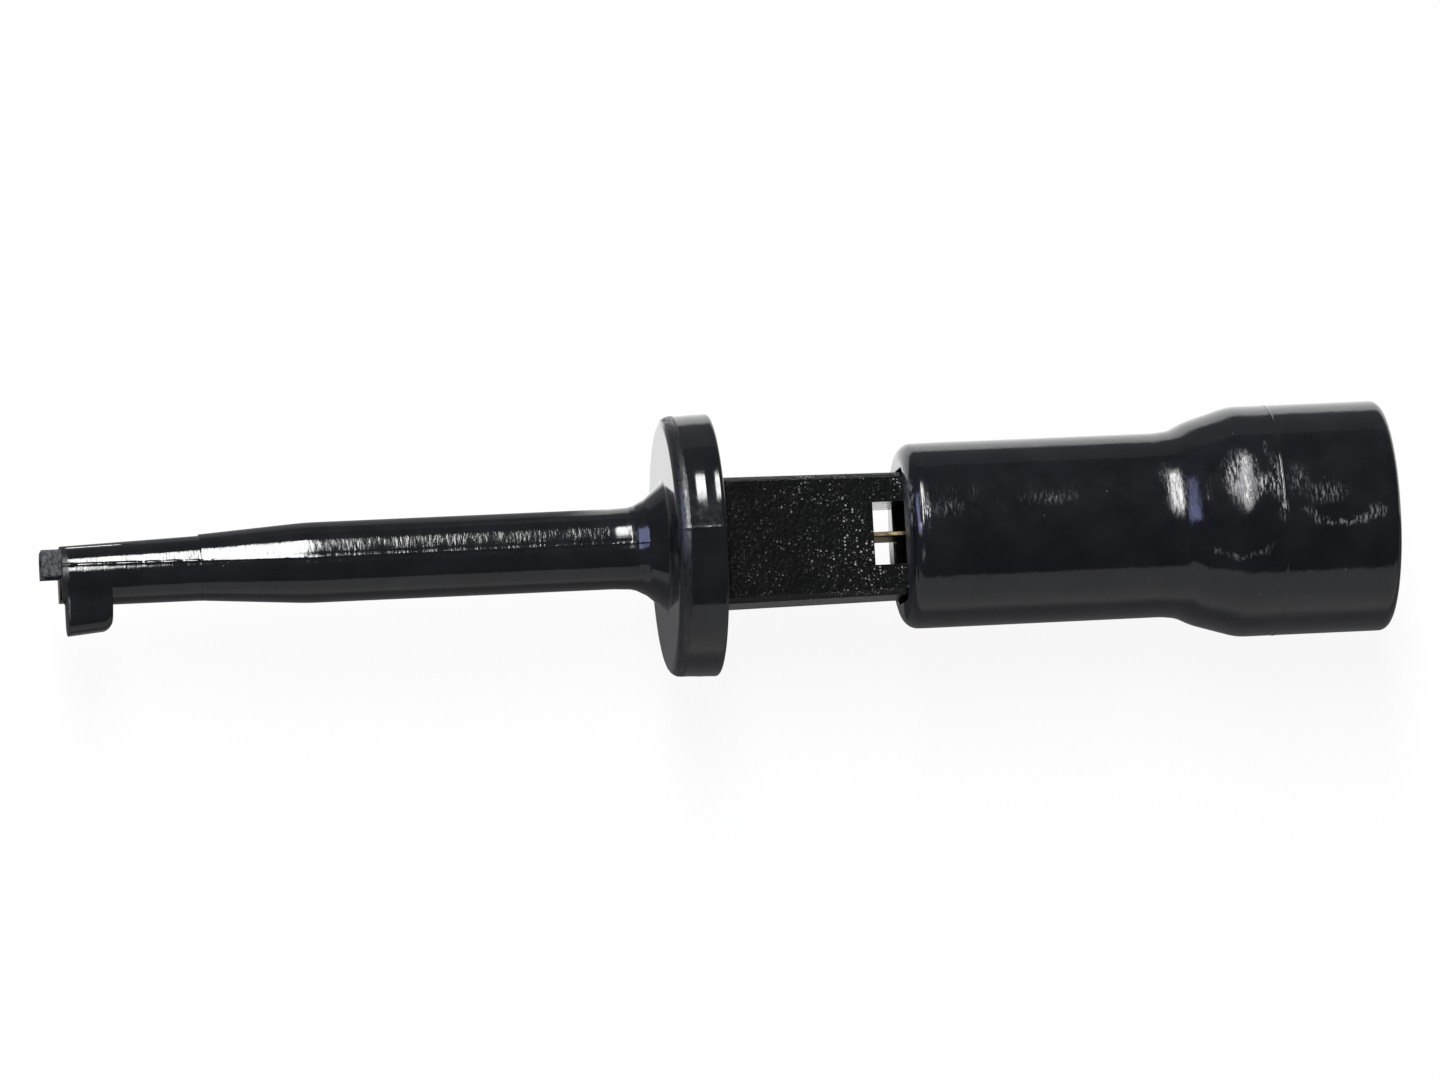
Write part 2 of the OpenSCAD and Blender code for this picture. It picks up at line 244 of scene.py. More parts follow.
# The tip hangs a little low, so its reach is the distance from the axis to a dropped circle.
droop = -tip_drop * np.clip((step_at - nose_x) / tip_len, 0, 1) * outside
nose_reach = droop * np.cos(nose_angles) + np.sqrt(nose_rr**2 - (droop * np.sin(nose_angles)) ** 2)

# A power mean of the tip's reach and the foot's joins them by a small fillet.
foot_share = foot_reach(nose_x, nose_angles) * on_skin
nose_reach = nose_reach * (1 + (foot_share / nose_reach) ** root_blend) ** (1 / root_blend)

# The step is sharp on top. Below it fades out, because the tip widens evenly up to the ledge there.
behind = np.clip((nose_x - face_at) / tip_len, 0, 1)
ledge_fill = (ledge_r - tip_root_r) * behind * (nose_x < step_at) * on_skin
nose_reach += ledge_fill * (1 - np.clip(np.cos(nose_angles), 0, 1))

# The flange's rim has shallow waves across its width, which fade out towards the parting line.
rim_places = np.array([0.45, 0.85, 1.29, 1.66, 1.9, 2.05]) * mm
rim_rise = np.array([0, -0.012, -0.002, -0.0133, -0.0078, -0.0075]) * mm
rim_wave = np.interp(nose_x - flange_at, rim_places, rim_rise)
from_side = np.pi / 2 - np.arccos(np.abs(np.cos(nose_angles)))
rim_wave = rim_wave * np.clip((from_side - np.radians(10)) / np.radians(6), 0, 1)
nose_reach += rim_wave * (nose_rr > 0.98 * flange_r)

# A narrow flat lies under the parting ridge from the taper to the cone: its reach is that of a chord.
flat_places = [shoulder_at - 1.5 * mm, shoulder_at + 0.5 * mm, cone_at + 0.1 * mm, cone_at + 0.6 * mm]
flat_share = np.interp(nose_x, flat_places, [0, 1, 1, 0]) * on_skin
off_parting = np.arccos(np.abs(np.cos(nose_turns - ridge_at)))
nose_reach *= 1 - flat_share * np.maximum(1 - np.cos(flat_half) / np.cos(off_parting), 0)

# The parting ridge is a bell curve across the parting line, given here by its place, half width and rise.
# Three waves tear it along its length, and a finer line of flash lies on top of the tip.
ridge_places, ridge_halves, ridge_rises = np.transpose(
    [
        (face_at, 0.065 * mm, 0.036 * mm),
        (step_at, 0.06 * mm, 0.03 * mm),
        (step_at + 1.6 * mm, 0.05 * mm, 0.008 * mm),
        (shoulder_at, 0.06 * mm, 0.022 * mm),
        (cone_at - 1.5 * mm, 0.06 * mm, 0.026 * mm),
        (cone_at - 1 * mm, 0.05 * mm, 0.006 * mm),
        (flange_at, 0.07 * mm, 0.016 * mm),
        (flange_rear, 0.07 * mm, 0.042 * mm),
    ]
)
ridge_rise = np.interp(nose_x, ridge_places, ridge_rises)
ridge = bell(off_parting, np.interp(nose_x, ridge_places, ridge_halves) / nose_rr)
tear_waves = ((0.3, 7100, 0), (0.25, 15700, 1), (0.2, 31000, 0))
tears = sum(height * np.sin(nose_x * waves + start) for height, waves, start in tear_waves)
ragged = 1 + tears * np.where(nose_x < flange_at, 1, 0.05)
flash_places = np.array([0, 0.3, 2.4, 3.4]) * mm
flash_rise = np.interp(nose_x - face_at, flash_places, np.array([0, 0.034, 0.03, 0]) * mm)
flash = bell(nose_turns - flash_at, flash_half)
nose_reach += (ridge_rise * ridge * ragged + flash_rise * flash) * on_skin

# The hook's seat is a shallow recess in the lower half of the front face.
nose_points = around_axis(nose_x, nose_reach, nose_angles)
seat_wall = np.clip((seat_half - np.abs(nose_points[..., 2] - axis_z)) / seat_side + 0.5, 0, 1)
seat_reach = np.clip(1 - (nose_x - face_at) / seat_fade, 0, 1)
nose_points[..., 0] += seat_depth * seat_reach * seat_wall * (nose_points[..., 1] < 0)
nose = surface("nose_moulding", nose_points)


def node(tree, kind, values=None, **settings):
    """One shader node. The settings are its own properties, and values fills its inputs, each by a
    number or colour or from another node's output."""
    made = tree.nodes.new("ShaderNode" + kind)
    for key, value in settings.items():
        setattr(made, key, value)
    for key, value in (values or {}).items():
        if isinstance(value, bpy.types.NodeSocket):
            tree.links.new(value, made.inputs[key])
        else:
            made.inputs[key].default_value = value
    return made


def new_finish(name, **constants):
    """A material with one surface shader, whose constants are set on its own sockets. Returns the
    material, its node tree, that shader and the Object coordinates that its patterns read."""
    material = bpy.data.materials.new(name)
    material.use_nodes = True
    tree = material.node_tree
    shader = tree.nodes["Principled BSDF"]
    for key, value in constants.items():
        shader.inputs[key.replace("_", " ")].default_value = value
    return material, tree, shader, node(tree, "TexCoord").outputs["Object"]


def lay_on(tree, shader, **patterns):
    """Links each pattern to the shader's socket of that name."""
    for key, pattern in patterns.items():
        tree.links.new(pattern, shader.inputs[key.replace("_", " ")])


def coordinates(tree, place):
    """The X, Y and Z of a place."""
    return node(tree, "SeparateXYZ", {"Vector": place}).outputs


def grain(tree, place, size, stretch=(1, 1, 1), detail=3, roughness=0.55):
    """Noise whose features are about size metres across, drawn out by stretch along X, Y and Z."""
    scaled = node(tree, "Mapping", {"Vector": place, "Scale": [1 / (size * s) for s in stretch]})
    values = {"Vector": scaled.outputs[0], "Scale": 1, "Detail": detail, "Roughness": roughness}
    return node(tree, "TexNoise", values).outputs["Fac"]


def between(tree, value, low, high, to_low=0, to_high=1):
    """The value carried from the range low to high to a new range, with smooth ends."""
    values = {"Value": value, "From Min": low, "From Max": high, "To Min": to_low, "To Max": to_high}
    return node(tree, "MapRange", values, interpolation_type="SMOOTHSTEP").outputs["Result"]


def reckon(tree, operation, a, b):
    """One sum, product or like operation on two values."""
    return node(tree, "Math", {0: a, 1: b}, operation=operation).outputs[0]


def strongest(tree, mask, *others):
    """The largest of several masks, point by point."""
    for other in others:
        mask = reckon(tree, "MAXIMUM", mask, other)
    return mask


def apart(tree, value, middle):
    """How far a value lies from a middle, to either side."""
    return reckon(tree, "ABSOLUTE", reckon(tree, "SUBTRACT", value, middle), 0)


def specks(tree, place, spacing, size, amount):
    """Mask of fine specks, used for dust and for painted highlight dots: the cores of random cells, kept in
    the given share of the cells.
    """
    cells = node(tree, "TexVoronoi", {"Vector": place, "Scale": 1 / spacing})
    core = between(tree, cells.outputs["Distance"], 0.45 * size / spacing, 0.8 * size / spacing, 1, 0)
    picked = node(tree, "SeparateColor", {"Color": cells.outputs["Color"]}).outputs["Red"]
    return reckon(tree, "MULTIPLY", core, reckon(tree, "LESS_THAN", picked, amount))


def blend_colour(tree, share, first, second):
    """A colour between two, by share."""
    return node(tree, "Mix", {0: share, 6: first, 7: second}, data_type="RGBA").outputs[2]


def bump(tree, height, strength, depth, normal=None):
    """A normal tilted by a height pattern of that depth, on top of an earlier normal if there is one."""
    values = {"Height": height, "Strength": strength, "Distance": depth}
    if normal is not None:
        values["Normal"] = normal
    return node(tree, "Bump", values).outputs[0]


def polished_black(name, dark, pale, gloss, ring_depth, rings_end, wear):
    """Polished moulded nylon: faintly cloudy black with a few dust specks, and short tool marks round
    the axis, in clusters over a slow waviness, up to the station where they end. Wear dulls the rubbed
    zones, and greys and scratches the scuffs."""
    dust_grey = (0.12, 0.12, 0.115, 1)
    scuff_grey = (0.4, 0.395, 0.4, 1)
    material, tree, shader, place = new_finish(name, IOR=1.53)
    rubbed, scuffs, streaks = wear(tree, place)
    dust = specks(tree, place, 0.7 * mm, 0.04 * mm, 0.2)
    cloud = between(tree, grain(tree, place, 1.6 * mm, detail=5), 0.3, 0.7)
    tone = blend_colour(tree, cloud, dark, pale)
    tone = blend_colour(tree, dust, tone, dust_grey)
    tone = blend_colour(tree, reckon(tree, "MULTIPLY", scuffs, 0.8), tone, scuff_grey)
    dull = between(tree, grain(tree, place, 0.45 * mm, detail=6), 0.35, 0.75, gloss, gloss + 0.05)
    dull = reckon(tree, "ADD", dull, reckon(tree, "MULTIPLY", dust, 0.4))
    dull = reckon(tree, "ADD", dull, reckon(tree, "MULTIPLY", rubbed, 0.42))
    station = coordinates(tree, place)["X"]
    marked = between(tree, station, rings_end, rings_end + 0.3 * mm, 1, 0.1)
    normal = bump(tree, grain(tree, place, 1.1 * mm, detail=2), marked, 0.012 * mm)
    rings = grain(tree, place, 0.13 * mm, stretch=(1, 3.5, 3.5), detail=4)
    clusters = between(tree, grain(tree, place, 0.5 * mm, stretch=(1, 2, 2)), 0.36, 0.6, 0.35, 1)
    normal = bump(tree, rings, reckon(tree, "MULTIPLY", clusters, marked), ring_depth, normal)
    scratched = strongest(tree, reckon(tree, "MULTIPLY", rubbed, 0.6), scuffs)
    normal = bump(tree, streaks, scratched, 0.03 * mm, normal)
    lay_on(tree, shader, Base_Color=tone, Roughness=dull, Normal=normal)
    return material


def tip_wear(tree, place):
    """Wear of the nose: a ragged band behind the front face and the bottom of the foot are rubbed dull by
    the pins they are pushed over, the flange's front edge by fingers, and the cone's root is streaked.
    It has no scuffs."""
    x, y = coordinates(tree, place)[:2]
    torn = grain(tree, place, 0.12 * mm, stretch=(1, 3, 3), detail=5)
    face_end = hood_front + face_at + 0.5 * mm
    heel = hood_front + face_at + foot_toe + foot_len
    from_root = apart(tree, x, hood_front + cone_at + 0.2 * mm)
    from_edge = apart(tree, x, hood_front + flange_at + 0.3 * mm)
    face = reckon(tree, "ADD", x, reckon(tree, "MULTIPLY", torn, 0.3 * mm))
    face = between(tree, face, face_end - 0.12 * mm, face_end, 0.8, 0)
    foot = between(tree, y, -2.2 * mm, -1.6 * mm, 0.2, 0)
    foot = reckon(tree, "MULTIPLY", foot, between(tree, x, heel, heel + 0.1 * mm, 1, 0))
    root = between(tree, from_root, 0.3 * mm, 0.5 * mm, 0.3, 0)
    root = reckon(tree, "MULTIPLY", root, between(tree, torn, 0.42, 0.58))
    edge = between(tree, from_edge, 0.17 * mm, 0.27 * mm, 0.9, 0)
    edge = reckon(tree, "MULTIPLY", edge, between(tree, torn, 0.35, 0.6, 0.5, 1))
    return strongest(tree, face, foot, root, edge), 0, torn


nose_finish = polished_black(
    "nose_black",
    (0.0045, 0.005, 0.0056, 1),
    (0.0085, 0.009, 0.0098, 1),
    gloss=0.06,
    ring_depth=0.0085 * mm,
    rings_end=hood_front + cone_at - 1.1 * mm,
    wear=tip_wear,
)
nose.data.materials.append(nose_finish)
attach(nose, "barrel")
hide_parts("nose_barrel")

# Hood: the top of the tip carried forward over the hook, part of the nose moulding. It is an upside
# down trough, open below for the hook's leg, and its front was left matt where the gate was cut off.
hood_top = 0.97 * mm
hood_low = 0.18 * mm
hood_half = 1.03 * mm
channel_half = 0.65 * mm
hood_roof = 0.59 * mm
hood_root = 0.35 * mm
hood_wall = 0.38 * mm
hood_edge = 0.05 * mm
hood_end = face_at + hood_root


def box_ray(angles, half, top):
    """Distance from the axis to an upright box of that half width and top, which is open below."""
    aside = half / np.maximum(np.abs(np.sin(angles)), tiny)
    above = np.where(np.cos(angles) > 0, top / np.maximum(np.cos(angles), tiny), np.inf)
    return np.minimum(aside, above)


# The hood is swept round the axis from one lower edge to the other. Its outline runs from the channel's
# wall, at nought, to the outer skin, which is the tip's dropped circle cut by a box.
sweep = np.linspace(-1, 1, 97)[:, None]
inner_angles = sweep * np.arctan2(channel_half, -hood_low)
outer_angles = sweep * np.arctan2(hood_half, -hood_low)
inner_reach = box_ray(inner_angles, channel_half, hood_roof)
off_drop = tip_drop * np.sin(outer_angles)
round_reach = -tip_drop * np.cos(outer_angles) + np.sqrt(tip_r**2 - off_drop**2)
outer_reach = np.minimum(round_reach, box_ray(outer_angles, hood_half, hood_top))
hood_outline = rounded_outline(
    [
        (0, 0, hood_edge),
        (0, hood_wall, hood_edge),
        (hood_end, hood_wall, hood_edge),
        (hood_end, 0, hood_edge),
    ],
    run_steps=6,
)
through = hood_outline[None, :, 1] / hood_wall
hood_y = inner_reach * np.cos(inner_angles) * (1 - through) + outer_reach * np.cos(outer_angles) * through
hood_z = inner_reach * np.sin(inner_angles) * (1 - through) + outer_reach * np.sin(outer_angles) * through
hood_x = hood_front + hood_outline[None, :, 0] + 0 * hood_y
hood = surface("nose_hood", np.stack([hood_x, hood_y, axis_z + hood_z], -1)[::-1], round_rows=False)


def torn_black(name):
    """Nylon where a gate was cut: matt black, torn into a fine pale and dark grain."""
    dark, pale = (0.012, 0.0125, 0.0125, 1), (0.085, 0.086, 0.086, 1)
    material, tree, shader, place = new_finish(name, IOR=1.53, Roughness=0.6, Specular_IOR_Level=0.3)
    tears = grain(tree, place, 0.11 * mm, stretch=(1, 1.6, 1.6), detail=5, roughness=0.7)
    tone = blend_colour(tree, between(tree, tears, 0.38, 0.64), dark, pale)
    lay_on(tree, shader, Base_Color=tone, Normal=bump(tree, tears, 1, 0.05 * mm))
    return material


hood_finish = torn_black("hood_matt_black")
hood.data.materials.append(hood_finish)
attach(hood, "barrel")

# Guide block: a black nylon bar with a spark-eroded skin, pressed into the flange by a spigot. The
# plunger slides on it, and its see-through window takes the plunger's two snap lugs.
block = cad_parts["guide_block"]


def sparked_black(name):
    """Spark-eroded nylon: a pitted skin of small round craters over a coarser unevenness, dull black,
    with pale dots and threads painted into its colour as painted highlights, in patches and more of them to
    the rear."""
    dark, pale = (0.002, 0.0022, 0.002, 1), (0.005, 0.0053, 0.0049, 1)
    painted_glint_grey = (0.45, 0.45, 0.43, 1)
    material, tree, shader, place = new_finish(name, IOR=1.53, Specular_IOR_Level=0.16)
    pits = node(tree, "TexVoronoi", {"Vector": place, "Scale": 1 / (0.16 * mm)}, feature="SMOOTH_F1")
    pits = pits.outputs["Distance"]
    height = reckon(tree, "ADD", pits, grain(tree, place, 0.14 * mm, detail=4))
    patches = between(tree, grain(tree, place, 1.3 * mm), 0.44, 0.6, 0.06, 0.9)
    to_rear = between(tree, coordinates(tree, place)["X"], 0.5 * mm, 6.5 * mm, 0.16, 0.9)
    # Painted highlights: pale glint dots and threads, painted into the base colour, denser to the rear.
    dots = specks(tree, place, 0.13 * mm, 0.066 * mm, 0.34)
    dots = reckon(tree, "MULTIPLY", dots, between(tree, grain(tree, place, 0.2 * mm), 0.35, 0.65, 0.25, 1))
    threads = between(tree, grain(tree, place, 0.075 * mm, detail=2), 0.62, 0.72, 0, 0.45)
    painted_glints = reckon(tree, "MULTIPLY", strongest(tree, dots, threads), patches)
    painted_glints = reckon(tree, "MULTIPLY", painted_glints, to_rear)
    tone = blend_colour(tree, grain(tree, place, 0.9 * mm), dark, pale)
    tone = blend_colour(tree, painted_glints, tone, painted_glint_grey)
    dull = between(tree, pits, 0, 0.8, 0.13, 0.2)
    lay_on(tree, shader, Base_Color=tone, Roughness=dull, Normal=bump(tree, height, 0.45, 0.02 * mm))
    return material


block_finish = sparked_black("guide_black")
block.material_slots[0].material = block_finish

# Return spring: hard-drawn steel wire wound in eight turns, the two end turns closed. It stands between
# the guide block and the terminal's collar and shortens as the plunger is pressed.
spring_low, spring_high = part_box("return_spring")
wire_r = 0.125 * mm
wire_sides = 14
coil_r = (spring_high.z - spring_low.z) / 2 - wire_r
spring_turns = 8
turn_steps = 40
closed_pitch = 2 * wire_r
open_pitch = (spring_high.x - spring_low.x - 3 * closed_pitch) / (spring_turns - 2)

# The wire's circle is carried along a helix, which climbs by the closed pitch in the end turns.
turn = np.linspace(0, spring_turns, spring_turns * turn_steps + 1)[:, None]
coil_x = spring_low.x + wire_r + np.interp(
    turn,
    [0, 1, spring_turns - 1, spring_turns],
    np.cumsum([0, closed_pitch, open_pitch * (spring_turns - 2), closed_pitch]),
)
wire_angles = np.arange(wire_sides)[None, :] * 2 * np.pi / wire_sides
wire_reach = coil_r + wire_r * np.cos(wire_angles)
spring_points = np.stack(
    [
        coil_x - wire_r * np.sin(wire_angles),
        wire_reach * np.cos(2 * np.pi * turn),
        axis_z + wire_reach * np.sin(2 * np.pi * turn),
    ],
    -1,
)
spring = surface("return_spring_coil", spring_points, round_rows=False)


def drawn_steel(name):
    """Bright drawn wire: steel with fine die lines and a faint straw cast in patches."""
    steel, straw = (0.52, 0.52, 0.53, 1), (0.46, 0.43, 0.38, 1)
    material, tree, shader, place = new_finish(name, Metallic=1)
    patches = between(tree, grain(tree, place, 1.2 * mm), 0.4, 0.7)
    lines = grain(tree, place, 0.03 * mm, stretch=(1, 5, 5))
    dull = between(tree, lines, 0.2, 0.8, 0.2, 0.38)
    lay_on(tree, shader, Base_Color=blend_colour(tree, patches, steel, straw), Roughness=dull)
    return material


spring.data.materials.append(drawn_steel("spring_steel"))
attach(spring, "barrel")
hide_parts("return_spring")
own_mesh(spring)

# Hook contact: a strip of plated bronze stamped from sheet. It runs through the nose's bore and the
# guide block, where it lies a little twisted, and its front end is bent down into the leg that hooks
# a component's pin.
strip_low, strip_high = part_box("hook_contact")
strip_t = 2 * strip_high.y
strip_half = (strip_high.z - strip_low.z) / 2
strip_edge = 0.04 * mm
bend_r = strip_t / 2 + 0.1 * mm
leg_x = strip_low.x + strip_t / 2
leg_nose = 0.12 * mm
leg_taper = 0.3
twist_places = np.array([leg_x + 3 * mm, 0, 14 * mm, 20 * mm])
twist_turns = np.radians([0, -9, -9, 0])

# The strip's section is carried up the leg, round the bend and along the tail. It leans with the path,
# twists about it, and narrows to the leg's round end by a quarter circle.
leg_stations = strip_low.y + leg_nose * np.array([0, 0.1, 0.3, 0.6, 1])
bend_angles = np.linspace(np.pi, np.pi / 2, 13)
tail_stations = np.linspace(leg_x + bend_r, strip_high.x, 40)[1:]
leg_ones, tail_ones = np.ones_like(leg_stations), np.ones_like(tail_stations)
bend_x = leg_x + bend_r + bend_r * np.cos(bend_angles)
bend_y = -bend_r + bend_r * np.sin(bend_angles)
strip_x = np.concatenate([leg_x * leg_ones, bend_x, tail_stations])[:, None]
strip_y = np.concatenate([leg_stations, bend_y, 0 * tail_ones])[:, None]
lean = np.concatenate([np.pi * leg_ones, bend_angles, np.pi / 2 * tail_ones])[:, None]
from_tip = np.clip((strip_y - strip_low.y) / leg_nose, 0, 1)
narrow = 1 - leg_taper * (1 - np.sqrt(1 - (1 - from_tip) ** 2))
strip_outline = rounded_outline(
    [
        (strip_t / 2, -strip_half, strip_edge),
        (strip_t / 2, strip_half, strip_edge),
        (-strip_t / 2, strip_half, strip_edge),
        (-strip_t / 2, -strip_half, strip_edge),
    ],
    arc_steps=5,
    run_steps=4,
)
twist = np.interp(strip_x, twist_places, twist_turns)
strip_off = strip_outline[None, :, 0] * np.cos(twist) - strip_outline[None, :, 1] * np.sin(twist)
strip_wide = strip_outline[None, :, 0] * np.sin(twist) + strip_outline[None, :, 1] * np.cos(twist)
strip_points = np.stack(
    [
        strip_x + strip_off * np.cos(lean),
        strip_y + strip_off * np.sin(lean),
        axis_z + strip_wide * narrow,
    ],
    -1,
)
strip = surface("hook_contact_strip", strip_points, round_rows=False)


def plated_bronze(name):
    """Thin gold plating over bronze: rolling lines along the strip and patches of brown tarnish. The gold
    is painted dark as painted shade, and the leg is painted nearly black as painted shade."""
    # The gold is darkened and the leg's colour is nearly black: both are painted shade.
    gold, tarnish, painted_shade_black = (0.42, 0.34, 0.18, 1), (0.18, 0.14, 0.08, 1), (0.03, 0.028, 0.018, 1)
    material, tree, shader, place = new_finish(name, Metallic=1)
    patches = between(tree, grain(tree, place, 0.5 * mm, detail=5), 0.4, 0.7)
    lines = grain(tree, place, 0.03 * mm, stretch=(20, 1, 1))
    station = coordinates(tree, place)["X"]
    # Painted shade: the strip's front, at the leg, fades to near black.
    leg_shade = between(tree, station, strip_low.x + 0.5 * mm, strip_low.x + 1.5 * mm, 0.85, 0)
    tone = blend_colour(tree, leg_shade, blend_colour(tree, patches, gold, tarnish), painted_shade_black)
    dull = between(tree, lines, 0.2, 0.8, 0.12, 0.22)
    lay_on(tree, shader, Base_Color=tone, Roughness=dull, Normal=bump(tree, lines, 0.6, 0.002 * mm))
    return material


strip.data.materials.append(plated_bronze("contact_gold"))
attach(strip, "plunger")
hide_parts("hook_contact")

# Solder terminal: turned from brass rod. A slit hub grips the strip's tail, the collar takes the spring's
# push, and the cup behind it is where a lead's wire is soldered.
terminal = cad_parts["solder_terminal"]


def turned_brass(name):
    """Bright turned brass: fine feed rings round the axis and a little dull tarnish."""
    brass, tarnish = (0.66, 0.5, 0.22, 1), (0.46, 0.34, 0.16, 1)
    material, tree, shader, place = new_finish(name, Metallic=1)
    rings = grain(tree, place, 0.04 * mm, stretch=(1, 30, 30))
    patches = between(tree, grain(tree, place, 0.9 * mm, detail=4), 0.4, 0.7)
    tone = blend_colour(tree, patches, brass, tarnish)
    dull = between(tree, patches, 0, 1, 0.2, 0.4)
    lay_on(tree, shader, Base_Color=tone, Roughness=dull, Normal=bump(tree, rings, 0.6, 0.004 * mm))
    return material


terminal.material_slots[0].material = turned_brass("terminal_brass")

# Plunger sleeve: one polished black nylon moulding. Its keyed bore slides on the guide block, it flares
# to a dished thumb end, and the lead enters through the hole there. A witness line of the tool runs
# round the thumb end, which is rubbed and scratched from use.
sleeve_low, sleeve_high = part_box("plunger_sleeve")
sleeve_len = sleeve_high.x - sleeve_low.x
sleeve_r = 3.92 * mm
sleeve_rear_r = 3.9 * mm
rim_r = 0.65 * mm
flare_x = np.array([11, 11.65, 12.3, 14.2]) * mm
flare_r = sleeve_rear_r + np.array([0, 0.08, 0.404, 0.98]) * mm
flare_round = np.array([3, 1.2, 3, 2.6]) * mm
thumb_r = (sleeve_high.z - sleeve_low.z) / 2
thumb_edge = 0.4 * mm
dish_r = thumb_r - thumb_edge - 0.7 * mm
dish_edge = 0.3 * mm
dish_depth = 0.3 * mm
dish_ball = (dish_r**2 + dish_depth**2) / (2 * dish_depth)
lead_r = 1.8 * mm
lead_edge = 0.12 * mm
lead_at = sleeve_len - 2.4 * mm
chamber_r = 1.25 * mm
seat_at = 16 * mm
key_r = 3.15 * mm
key_half_h = 2.775 * mm
key_half_t = 1.9 * mm
mouth_edge = 0.08 * mm
witness_at = 15.75 * mm
witness_w = 0.04 * mm
witness_rise = 0.02 * mm
sink_at = 0.68 * mm
sink_w = 0.16 * mm
sink_depth = 0.014 * mm


def dish_floor(r):
    """Station of the dished face at distance r from the axis: a shallow ball's cap."""
    return sleeve_len - dish_depth + dish_ball - np.sqrt(dish_ball**2 - r**2)


dish_mid_r = (dish_r + lead_r) / 2
sleeve_outline = rounded_outline(
    [
        (0, sleeve_r, rim_r),
        *zip(flare_x, flare_r, flare_round),
        (sleeve_len, thumb_r, thumb_edge),
        (sleeve_len, dish_r, dish_edge),
        (dish_floor(dish_mid_r), dish_mid_r, 9 * mm),
        (dish_floor(lead_r), lead_r, lead_edge),
        (lead_at, lead_r, inner_edge),
        (lead_at, chamber_r, inner_edge),
        (seat_at, chamber_r, inner_edge),
        (seat_at, key_r, inner_edge),
        (0, key_r, mouth_edge),
    ],
    arc_steps=9,
)
outer_rows = int(np.argmax(sleeve_outline[:, 0])) + 1
witness_rows = witness_at + witness_w * close_steps
sink_rows = sink_at + sink_w * np.linspace(-2.2, 2.2, 13)
sleeve_outline = with_rows(sleeve_outline, outer_rows, np.concatenate([sink_rows, witness_rows]))
sleeve_x = sleeve_outline[:, :1]
sleeve_rr = sleeve_outline[:, 1:]
sleeve_angles = turned_angles(200, [ridge_at, ridge_at + np.pi])

# The bore is keyed where its reach is cut back to the block's section. The key grows over the mouth and
# over the seat, so that both end in a circle.
key_sides = np.minimum(
    key_half_h / np.maximum(np.abs(np.cos(sleeve_angles)), tiny),
    key_half_t / np.maximum(np.abs(np.sin(sleeve_angles)), tiny),
)
key_reach = np.minimum(key_r, key_sides)
inside = (sleeve_x < seat_at + 0.1 * mm) & (sleeve_rr < sleeve_r - rim_r)
front_share = np.clip((sleeve_r - rim_r - sleeve_rr) / (sleeve_r - rim_r - key_r - mouth_edge), 0, 1)
seat_share = np.clip((sleeve_rr - chamber_r - 0.1 * mm) / (key_r - chamber_r - 0.2 * mm), 0, 1)
keyed = inside * np.minimum(front_share, seat_share)

# The witness line and the uneven sink behind the front rim are bell curves along the axis.
on_outside = sleeve_rr > sleeve_r - rim_r
witness = witness_rise * (bell(sleeve_x - witness_at, witness_w) * on_outside)
sink = sink_depth * (bell(sleeve_x - sink_at, sink_w) * on_outside)
lobes = 0.6 + 0.4 * np.cos(3 * sleeve_angles + 0.7)
sleeve_reach = sleeve_rr + keyed * (key_reach - key_r) + witness - sink * lobes
sleeve_points = around_axis(sleeve_low.x - hood_front + sleeve_x, sleeve_reach, sleeve_angles)
sleeve = surface("plunger_moulding", sleeve_points)


def worn_oval(tree, place, warp, middle, size, depth, scrape=False):
    """Mask of an oval on the sleeve's upper side, with middle and half sizes along X and Y in millimetres:
    its depth in the middle, falling to nought at the edge. A scrape is the lower arc of the edge instead.
    The warp moves the edge in and out."""
    ring, warped, width = (1, 1.2, 0.3) if scrape else (0, 0.6, 1)
    values = {
        "Vector": place,
        "Location": (middle[0] * mm, middle[1] * mm, 10 * mm),
        "Scale": (size[0] * mm, size[1] * mm, 4 * mm),
    }
    local = node(tree, "Mapping", values, vector_type="TEXTURE").outputs[0]
    away = node(tree, "VectorMath", {0: local}, operation="LENGTH").outputs["Value"]
    away = reckon(tree, "ADD", away, reckon(tree, "MULTIPLY", warp, warped))
    mask = between(tree, apart(tree, away, ring), 0.02, width, depth, 0)
    if scrape:
        lower = between(tree, coordinates(tree, local)["Y"], -0.6, 0.1, 1, 0)
        mask = reckon(tree, "MULTIPLY", mask, lower)
    return mask


